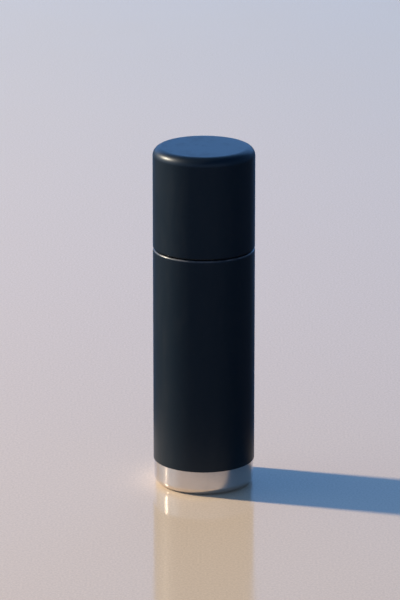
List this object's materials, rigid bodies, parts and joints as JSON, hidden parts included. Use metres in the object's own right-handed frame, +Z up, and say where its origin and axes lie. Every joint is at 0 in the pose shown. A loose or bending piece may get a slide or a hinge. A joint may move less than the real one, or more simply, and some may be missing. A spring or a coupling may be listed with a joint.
{
  "type": "insulated water bottle",
  "caption": "Double-wall steel vacuum flask with a matte black coating, a bare steel band at its foot, a screw stopper and a screw-on double-wall cup as its lid.",
  "frame": {"origin": "middle of the ring that the bottle stands on, on its axis", "axes": "+Z up the bottle's axis from the base to the closed cup; the outside is round, so +X only marks where the collar's first thread ridge starts"},
  "size_m": [0.073, 0.073, 0.25],
  "materials": {
    "coating": "matte",
    "polished_steel": "polished",
    "brushed_steel": "satin",
    "liner_steel": "satin",
    "black_plastic": "satin",
    "silicone": "matte",
    "foam": "matte",
    "seal_bead": "matte",
    "getter_metal": "matte"
  },
  "bodies": {
    "flask": {"outer_shell": "coating", "base_cup": "polished_steel", "base_plate": "brushed_steel", "vacuum_seal": "seal_bead", "seal_cap": "polished_steel", "inner_vessel": "liner_steel", "vessel_shoulder": "liner_steel", "throat_ring": "liner_steel", "neck_liner": "liner_steel", "inner_base": "liner_steel", "getter": "getter_metal", "getter_clip": "polished_steel", "neck_collar": "black_plastic", "mouth_ring": "liner_steel"},
    "stopper_lifter": {"stopper_gasket": "silicone"},
    "stopper": {"stopper_plug": "black_plastic", "stopper_foot": "black_plastic", "stopper_foam": "foam", "stopper_grip": "black_plastic", "stopper_disc": "brushed_steel"},
    "cup_lifter": {"cup_seal": "silicone"},
    "cup": {"cup_shell": "coating", "cup_liner": "liner_steel", "cup_thread_ring": "black_plastic"}
  },
  "joints": [
    {"name": "cup_lift", "type": "slide", "parent": "flask", "child": "cup_lifter", "axis": [0, 0, 1], "range_m": [0, 0.0721]},
    {"name": "cup_twist", "type": "hinge", "parent": "cup_lifter", "child": "cup", "pos_m": [0, 0, 0.19], "axis": [0, 0, 1], "range_deg": [0, 1620]},
    {"name": "stopper_lift", "type": "slide", "parent": "flask", "child": "stopper_lifter", "axis": [0, 0, 1], "range_m": [0, 0.0261]},
    {"name": "stopper_twist", "type": "hinge", "parent": "stopper_lifter", "child": "stopper", "pos_m": [0, 0, 0.195], "axis": [0, 0, 1], "range_deg": [0, 780]}
  ],
  "couplings": [
    {"joint": "cup_lift", "follows": "cup_twist", "m_per_rad": 0.0025465},
    {"joint": "stopper_lift", "follows": "stopper_twist", "m_per_rad": 0.0019099}
  ]
}
